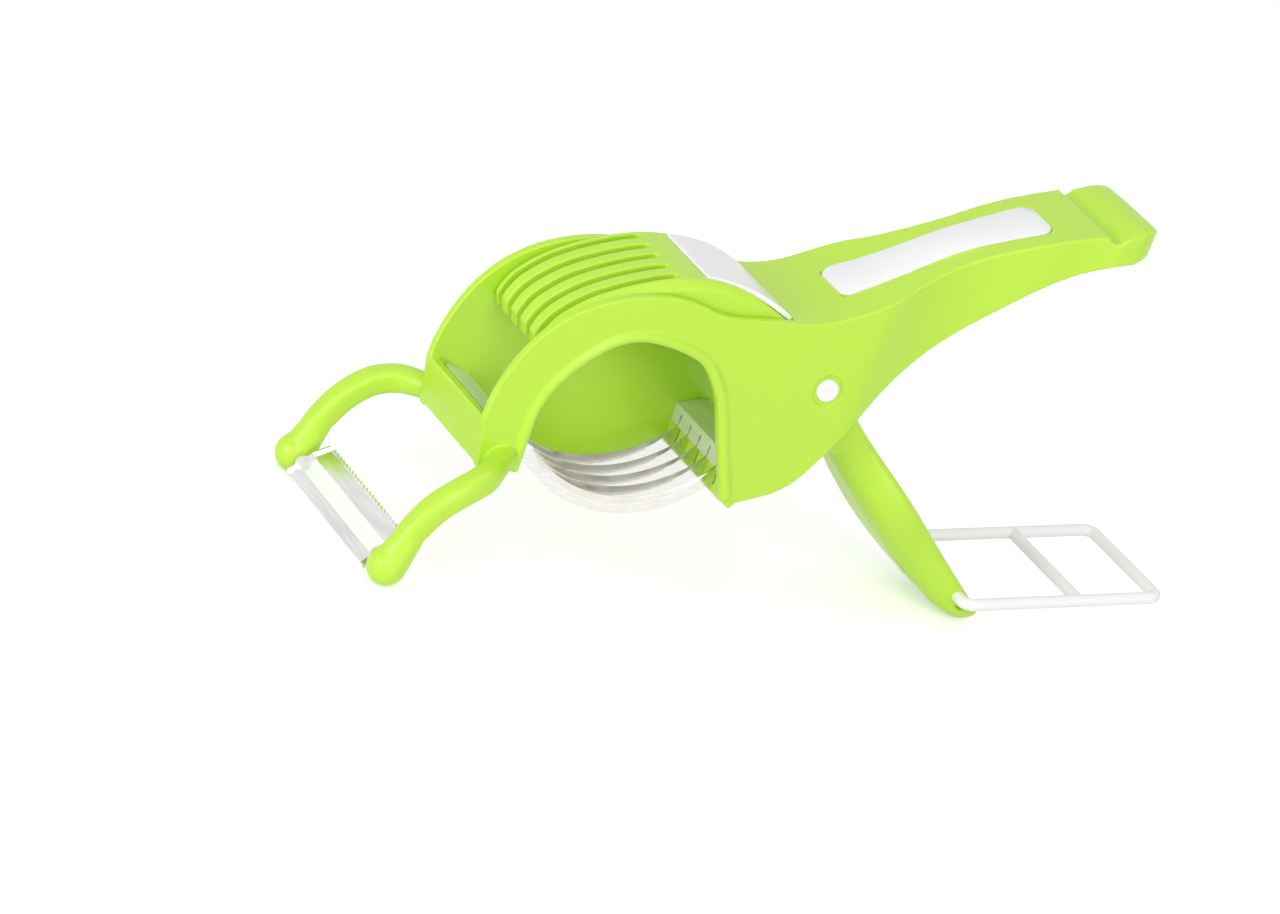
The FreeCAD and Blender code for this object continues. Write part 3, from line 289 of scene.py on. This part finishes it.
def softened(node, reshape=None, fill=()):
    """The node's form with every edge rounded, as a mould leaves it, after filling and before reshaping."""
    voxel, rounds, keep = MOULDING[node]
    bm = bmesh.new()
    bm.from_mesh(NODES[node].data)
    for extra in fill:
        bm.from_mesh(extra)
    mesh = bpy.data.meshes.new(node + "_moulded")
    bm.to_mesh(mesh)
    piece = new_object(node + "_moulded", mesh)
    remesh = piece.modifiers.new("remesh", "REMESH")
    remesh.mode = "VOXEL"
    remesh.voxel_size = voxel * MM
    smooth = piece.modifiers.new("smooth", "SMOOTH")
    smooth.iterations = rounds
    smooth.factor = 0.5
    apply_modifiers(piece)
    if reshape is not None:
        places = np.empty(len(piece.data.vertices) * 3, dtype=np.float32)
        piece.data.vertices.foreach_get("co", places)
        places = places.reshape(-1, 3) / MM - np.array(PIVOT) / MM
        piece.data.vertices.foreach_set("co", ((reshape(places) + np.array(PIVOT) / MM) * MM).ravel())
    thin = piece.modifiers.new("thin", "DECIMATE")
    thin.ratio = keep
    apply_modifiers(piece)
    for polygon in piece.data.polygons:
        polygon.use_smooth = True
    piece.data.materials.clear()
    piece.data.materials.append(MATERIAL_OF[SLOT_OF[node]])
    finish_piece(piece, node)
    return piece


# Reshaping of the moulded pieces

def squarer_end(along, deep, start, reach, half, corner, bow):
    """Draws an end out lengthwise, so that it is nearly square across and only its corners are rounded."""
    side = np.minimum(np.abs(deep), half)
    cells = np.minimum((side / END_CELL).astype(int), int(half / END_CELL))
    ends = np.full(cells.max() + 1, start + 1.0)
    np.maximum.at(ends, cells, along)
    middles = (np.arange(len(ends)) + 0.5) * END_CELL
    ends = np.polyval(np.polyfit(middles, ends, END_FIT), middles)
    old = np.interp(side, middles, ends)
    inside = np.clip((side - half + corner) / corner, 0.0, MOST_ROUND)
    new = reach - bow * (side / half) ** 2 - corner * round_in(inside)
    share = faded(along, start, np.maximum(old - start, 1.0))
    return along + (new - old) * share ** 2 * (3 - 2 * share)


def arm_necks():
    """Tapers that lead the peeler's two arms into their knobs."""
    knob, above = Vector(ARM_LINE[-1]), Vector(ARM_LINE[-2])
    way = (above - knob).normalized()
    back = Vector((way.z, 0, -way.x)) * NECK_BACK
    turn = way.to_track_quat("Z", "Y").to_matrix().to_4x4()
    bm = bmesh.new()
    for side in (-1, 1):
        middle = knob + way * (NECK_LOW + NECK_HIGH) / 2 + back
        middle.y *= side
        bmesh.ops.create_cone(bm, cap_ends=True, segments=NECK_SIDES, radius1=NECK_WIDE * MM,
                              radius2=NECK_THIN * MM, depth=(NECK_HIGH - NECK_LOW) * MM,
                              matrix=Matrix.Translation(middle * MM + PIVOT) @ turn)
    mesh = bpy.data.meshes.new("arm_necks")
    bm.to_mesh(mesh)
    return mesh


def arm_curve():
    """The arm's middle line on the +Y side, with its corners cut until it is smooth."""
    points = [np.array(point) for point in ARM_LINE]
    for _ in range(ARM_ROUNDS):
        cut = [points[0]]
        for one, other in zip(points, points[1:]):
            cut += [one * 0.75 + other * 0.25, one * 0.25 + other * 0.75]
        points = cut + [points[-1]]
    return points


def squarer_arms(places):
    """The peeler's arms have a nearly square section with wide corners, round only at root and knob."""
    chosen = (places[:, 0] < ARM_START) & (np.abs(places[:, 1]) > ARM_SPREAD)
    mirror = np.ones((chosen.sum(), 3))
    mirror[:, 1] = np.sign(places[chosen, 1])
    points = places[chosen] * mirror
    nearest = np.full(len(points), np.inf)
    foot, way = np.zeros_like(points), np.zeros_like(points)
    line = arm_curve()
    for one, other in zip(line, line[1:]):
        run = other - one
        share = np.clip((points - one) @ run / (run @ run), 0.0, 1.0)
        here = one + share[:, None] * run
        gap = np.linalg.norm(points - here, axis=1)
        closer = gap < nearest
        nearest[closer] = gap[closer]
        foot[closer] = here[closer]
        way[closer] = run / np.linalg.norm(run)
    away = points - foot
    out = np.array((0.0, 1.0, 0.0)) - way * way[:, 1:2]
    out /= np.linalg.norm(out, axis=1)[:, None]
    beside = np.cross(way, out)
    parts = np.column_stack(((away * out).sum(1), (away * beside).sum(1)))
    shares = np.abs(parts) / np.maximum(nearest, LEAST_GAP)[:, None]
    factor = (shares ** ARM_POWER).sum(1) ** (-1 / ARM_POWER)
    from_knob = np.linalg.norm(points - np.array(ARM_LINE[-1]), axis=1)
    fade = faded(-foot[:, 0], *ROOT_FADE) * faded(from_knob, *KNOB_FADE) * faded(-nearest, *GAP_FADE)
    result = places.copy()
    result[chosen] = (foot + away * (1 + (factor - 1) * fade)[:, None]) * mirror
    return result


def reshaped_handle(places):
    """The lip runs on a little, keeps its width up to small corners, and is round over its whole nose."""
    across, deep, up = squarer_arms(places).T
    moved = squarer_end(across, deep, **LIP_END)
    grown = (LIP_END["reach"] - LIP_TOP[-1][0]) * faded(moved, LIP_END["start"], LIP_RAMP)
    old_top, new_top = np.interp(across, *zip(*LIP_TOP)), np.interp(moved - grown, *zip(*LIP_TOP))
    share = faded(up, LIP_FLOOR, old_top - LIP_FLOOR)
    return np.column_stack((moved, deep, up - np.clip(old_top - new_top, 0.0, None) * share))


def reshaped_lever(places):
    """The limb's underside is rounded off widely, its upper edges a little, and its tip is nearly square.
    The drawn-out tip is lifted to stand on the floor."""
    across, deep, up = places.T
    along = across * LIMB_WAY[0] + up * LIMB_WAY[1]
    side = across * LIMB_WAY[1] - up * LIMB_WAY[0]
    under = np.interp(along, *zip(*LIMB_UNDER))
    over = np.interp(along, *zip(*LIMB_OVER))
    past = squarer_end(along, deep, **LIMB_END) - along
    fade = faded(along, *LIMB_FADE)
    for depth, (reach, width) in ((under - side, UNDER_ROUNDING), (side - over, OVER_ROUNDING)):
        drawn_in = width * round_in(np.clip(1 - depth / reach, 0.0, 1.0))
        deep = deep * (1 - fade * drawn_in / np.interp(along, *zip(*LIMB_HALF)))
    height = up + past * LIMB_WAY[1] + PIVOT.z / MM
    lift = np.where(height < TIP_BAND, (TIP_BAND - height) * height.min() / (height.min() - TIP_BAND), 0.0)
    return np.column_stack((across + past * LIMB_WAY[0], deep, height + lift - PIVOT.z / MM))


def reshaped_bail(places):
    """A slightly longer frame, drawn out from its pin."""
    pin = np.array(BAIL_PIN)
    return pin + (places - pin) * np.array((BAIL_STRETCH, 1.0, BAIL_STRETCH))


# The long white plate on the handle

def plate_half(across, extra, corner):
    """Half the plate's width: it has a waist, and rounded corners at both ends."""
    half = np.interp(across, *zip(*PLATE_HALF)) + extra
    for edge, way in ((PLATE_FRONT - extra, 1), (PLATE_REAR + extra, -1)):
        half = half - corner * round_in(np.clip(1 - (across - edge) * way / corner, 0.0, 1.0))
    return half


def handle_levels():
    """The handle's top along its middle, as a polynomial read from the inlay in the CAD."""
    inlay = NODES["handle_grip_inlay"].data
    tree = BVHTree.FromPolygons([v.co for v in inlay.vertices], [p.vertices for p in inlay.polygons])
    known = {}
    for across in INLAY_STATIONS:
        hit = tree.ray_cast(Vector((across * MM + PIVOT.x, 0, 1)), Vector((0, 0, -1)))[0]
        known[across] = (hit.z - PIVOT.z) / MM - INLAY_PROUD
    return np.polyfit(list(known), list(known.values()), PLATE_FIT)


def plate_mesh(name, extra, low, high, edge, corner=PLATE_CORNER):
    """A plate that follows the handle's top between two levels, grown sideways by extra."""
    levels = handle_levels()
    front, rear = PLATE_FRONT - extra, PLATE_REAR + extra
    turn = [corner * (1 - math.cos(math.pi / 2 * n / CORNER_STEPS)) for n in range(CORNER_STEPS + 1)]
    stations = [front + t for t in turn]
    stations += list(np.linspace(front + corner, rear - corner, PLATE_STEPS)[1:-1])
    stations += [rear - t for t in reversed(turn)]
    sections = []
    for across in stations:
        half, top = plate_half(across, extra, corner), float(np.polyval(levels, across)) + high
        floor = top - high + low
        near = [(half, floor), (half, top - edge), (half - edge * SOFT_EDGE, top - edge * SOFT_EDGE),
                (half - edge, top)]
        section = [(-deep, up) for deep, up in near] + [(0, top)] + near[::-1]
        sections.append([Vector((across, deep, up)) * MM + PIVOT for deep, up in section])
    return skinned(name, sections, PLATE_SHARP)


def grip_plate():
    piece = new_object("grip_plate", plate_mesh("grip_plate", **PLATE))
    piece.data.materials.append(WHITE)
    finish_piece(piece, "handle_grip_inlay")


# Blades

def arc_points(centre, radius, begin, finish):
    """Points along the lower arc about centre, from the direction of begin to that of finish."""
    first, last = (math.atan2(end[1] - centre[1], end[0] - centre[0]) for end in (begin, finish))
    angles = [first + (last - first) * n / ARC_STEPS for n in range(ARC_STEPS + 1)]
    return [(centre[0] + radius * math.cos(a), centre[1] + radius * math.sin(a)) for a in angles]


def blade_rungs():
    """The blade's side view as pairs of upper and lower points with the width of the ground edge there."""
    ground = [GROUND_WIDTH * min(1.0, (n + 0.2) / TAPER_STEPS, (ARC_STEPS - n + 0.2) / TAPER_STEPS)
              for n in range(ARC_STEPS + 1)]
    return BLADE_FRONT + list(zip(arc_points(*UPPER_ARC), arc_points(*LOWER_ARC), ground)) + BLADE_REAR


def punch_mesh(across, level, up):
    """A short cylinder along Y, of the size of a rod's hole."""
    bm = bmesh.new()
    place = Matrix.Translation(Vector((across, 0, up)) * MM + PIVOT + Vector((0, level, 0)))
    bmesh.ops.create_cone(bm, cap_ends=True, segments=HOLE_SIDES, radius1=ROD_HOLE_RADIUS * MM,
                          radius2=ROD_HOLE_RADIUS * MM, depth=4 * BLADE_HALF * MM,
                          matrix=place @ Matrix.Rotation(math.pi / 2, 4, "X"))
    mesh = bpy.data.meshes.new("punch")
    bm.to_mesh(mesh)
    return mesh


def ground_blade(number):
    """A sheet blade whose concave upper edge is ground thin on both sides."""
    node = f"blade_{number}"
    level = (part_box(node)[0].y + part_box(node)[1].y) / 2
    sections = []
    for high, low, ground in blade_rungs():
        high, low = Vector((high[0], 0, high[1])), Vector((low[0], 0, low[1]))
        bevel = high + (low - high).normalized() * ground
        thin = BLADE_HALF - (BLADE_HALF - EDGE_HALF) * ground / GROUND_WIDTH
        section = [(high, thin), (bevel, BLADE_HALF), (low, BLADE_HALF), (low, -BLADE_HALF),
                   (bevel, -BLADE_HALF), (high, -thin)]
        sections.append([(point + Vector((0, half, 0))) * MM + PIVOT + Vector((0, level, 0))
                         for point, half in section])
    mesh = skinned(node + "_ground", sections, BLADE_SHARP, ground=(1, 5))
    mesh.materials.append(BLADE_STEEL)
    mesh.materials.append(GROUND_STEEL)
    piece = new_object(node + "_ground", mesh)
    for across, up in ROD_HOLES:
        cut_away(piece, punch_mesh(across, level, up))
    finish_piece(piece, node)


# Spring and the nodes that stay

def wound_spring():
    """A copy of the CAD spring with its place baked into its mesh. On the real tool the coil winds up as the lever
    closes: one leg stays under the roof, and the other goes with the lever.
    """
    piece = new_object("wound_spring", NODES["return_spring"].data.copy())
    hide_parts("return_spring")
    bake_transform(piece)


def carried_over():
    """CAD nodes whose shape is right only get their material."""
    for node, thing in NODES.items():
        material = NODE_MATERIAL.get(node, MATERIAL_OF[SLOT_OF[node]])
        if not thing.data.materials:
            thing.data.materials.append(material)
        for slot in thing.material_slots:
            slot.material = material


# Stage, light and camera

def math_node(tree, operation, first, second):
    """A Math node's output. The first input is linked, and the second is linked or a plain number."""
    node = tree.nodes.new("ShaderNodeMath")
    node.operation = operation
    tree.links.new(first, node.inputs[0])
    if isinstance(second, float):
        node.inputs[1].default_value = second
    else:
        tree.links.new(second, node.inputs[1])
    return node.outputs[0]


def stage():
    """A pale floor that camera and gloss see as white, and that keeps the object's shadow."""
    bpy.ops.mesh.primitive_plane_add(size=FLOOR_SIZE, location=(0, 0, -FLOOR_GAP))
    floor = bpy.context.object
    floor.name = "floor"
    material, tree, shader = node_tree("floor_white")
    shader.inputs["Base Color"].default_value = (FLOOR_GREY, FLOOR_GREY, FLOOR_GREY, 1)
    shader.inputs["Roughness"].default_value = 0.6
    shader.inputs["Specular IOR Level"].default_value = 0.1
    rays = tree.nodes.new("ShaderNodeLightPath")
    seen = math_node(tree, "MAXIMUM", rays.outputs["Is Camera Ray"], rays.outputs["Is Glossy Ray"])
    glow = tree.nodes.new("ShaderNodeEmission")
    glow.inputs["Color"].default_value = (1, 1, 1, 1)
    tree.links.new(math_node(tree, "MULTIPLY", seen, AMBIENT), glow.inputs["Strength"])
    both = tree.nodes.new("ShaderNodeAddShader")
    tree.links.new(shader.outputs[0], both.inputs[0])
    tree.links.new(glow.outputs[0], both.inputs[1])
    tree.links.new(both.outputs[0], tree.nodes["Material Output"].inputs["Surface"])
    floor.data.materials.append(material)


def world():
    """Even soft light, with a white that only camera, gloss and glass see."""
    backdrop = bpy.data.worlds.new("studio")
    backdrop.use_nodes = True
    tree = backdrop.node_tree
    plain, bright = tree.nodes["Background"], tree.nodes.new("ShaderNodeBackground")
    for background, strength in ((plain, AMBIENT), (bright, 1.0)):
        background.inputs["Color"].default_value = (1, 1, 1, 1)
        background.inputs["Strength"].default_value = strength
    rays = tree.nodes.new("ShaderNodeLightPath").outputs
    seen = math_node(tree, "MAXIMUM", rays["Is Camera Ray"], rays["Is Glossy Ray"])
    mix = tree.nodes.new("ShaderNodeMixShader")
    tree.links.new(math_node(tree, "MAXIMUM", seen, rays["Is Transmission Ray"]), mix.inputs["Fac"])
    tree.links.new(plain.outputs[0], mix.inputs[1])
    tree.links.new(bright.outputs[0], mix.inputs[2])
    tree.links.new(mix.outputs[0], tree.nodes["World Output"].inputs["Surface"])
    bpy.context.scene.world = backdrop


def softbox(name, place, power, width, height):
    """An area lamp that faces the middle of the object."""
    lamp = bpy.data.lights.new(name, "AREA")
    lamp.shape = "RECTANGLE"
    lamp.size, lamp.size_y = width, height
    lamp.energy = power
    thing = new_object(name, lamp)
    thing.location = place
    thing.rotation_euler = (LAMP_TARGET - Vector(place)).to_track_quat("-Z", "Y").to_euler()


def camera():
    data = bpy.data.cameras.new("camera")
    data.sensor_width = CAMERA_SENSOR
    data.lens = CAMERA_LENS
    data.clip_end = CAMERA_CLIP
    thing = new_object("camera", data)
    turn = Matrix((CAMERA_RIGHT, CAMERA_UP, -CAMERA_AHEAD)).transposed()
    thing.matrix_world = Matrix.Translation(CAMERA_PLACE * MM + PIVOT) @ turn.to_4x4()
    bpy.context.scene.camera = thing


carried_over()
handle = softened("upper_handle_body", reshaped_handle, [plate_mesh("pocket_fill", **POCKET_FILL), arm_necks()])
cut_away(handle, plate_mesh("pocket", **POCKET))
softened("press_lever", reshaped_lever)
softened("press_head_inlay")
softened("lock_bail", reshaped_bail)
grip_plate()
wound_spring()
for number in range(1, BLADES + 1):
    ground_blade(number)
stage()
world()
for lamp in LAMPS:
    softbox(*lamp)
camera()
bpy.context.scene.view_settings.view_transform = "Standard"
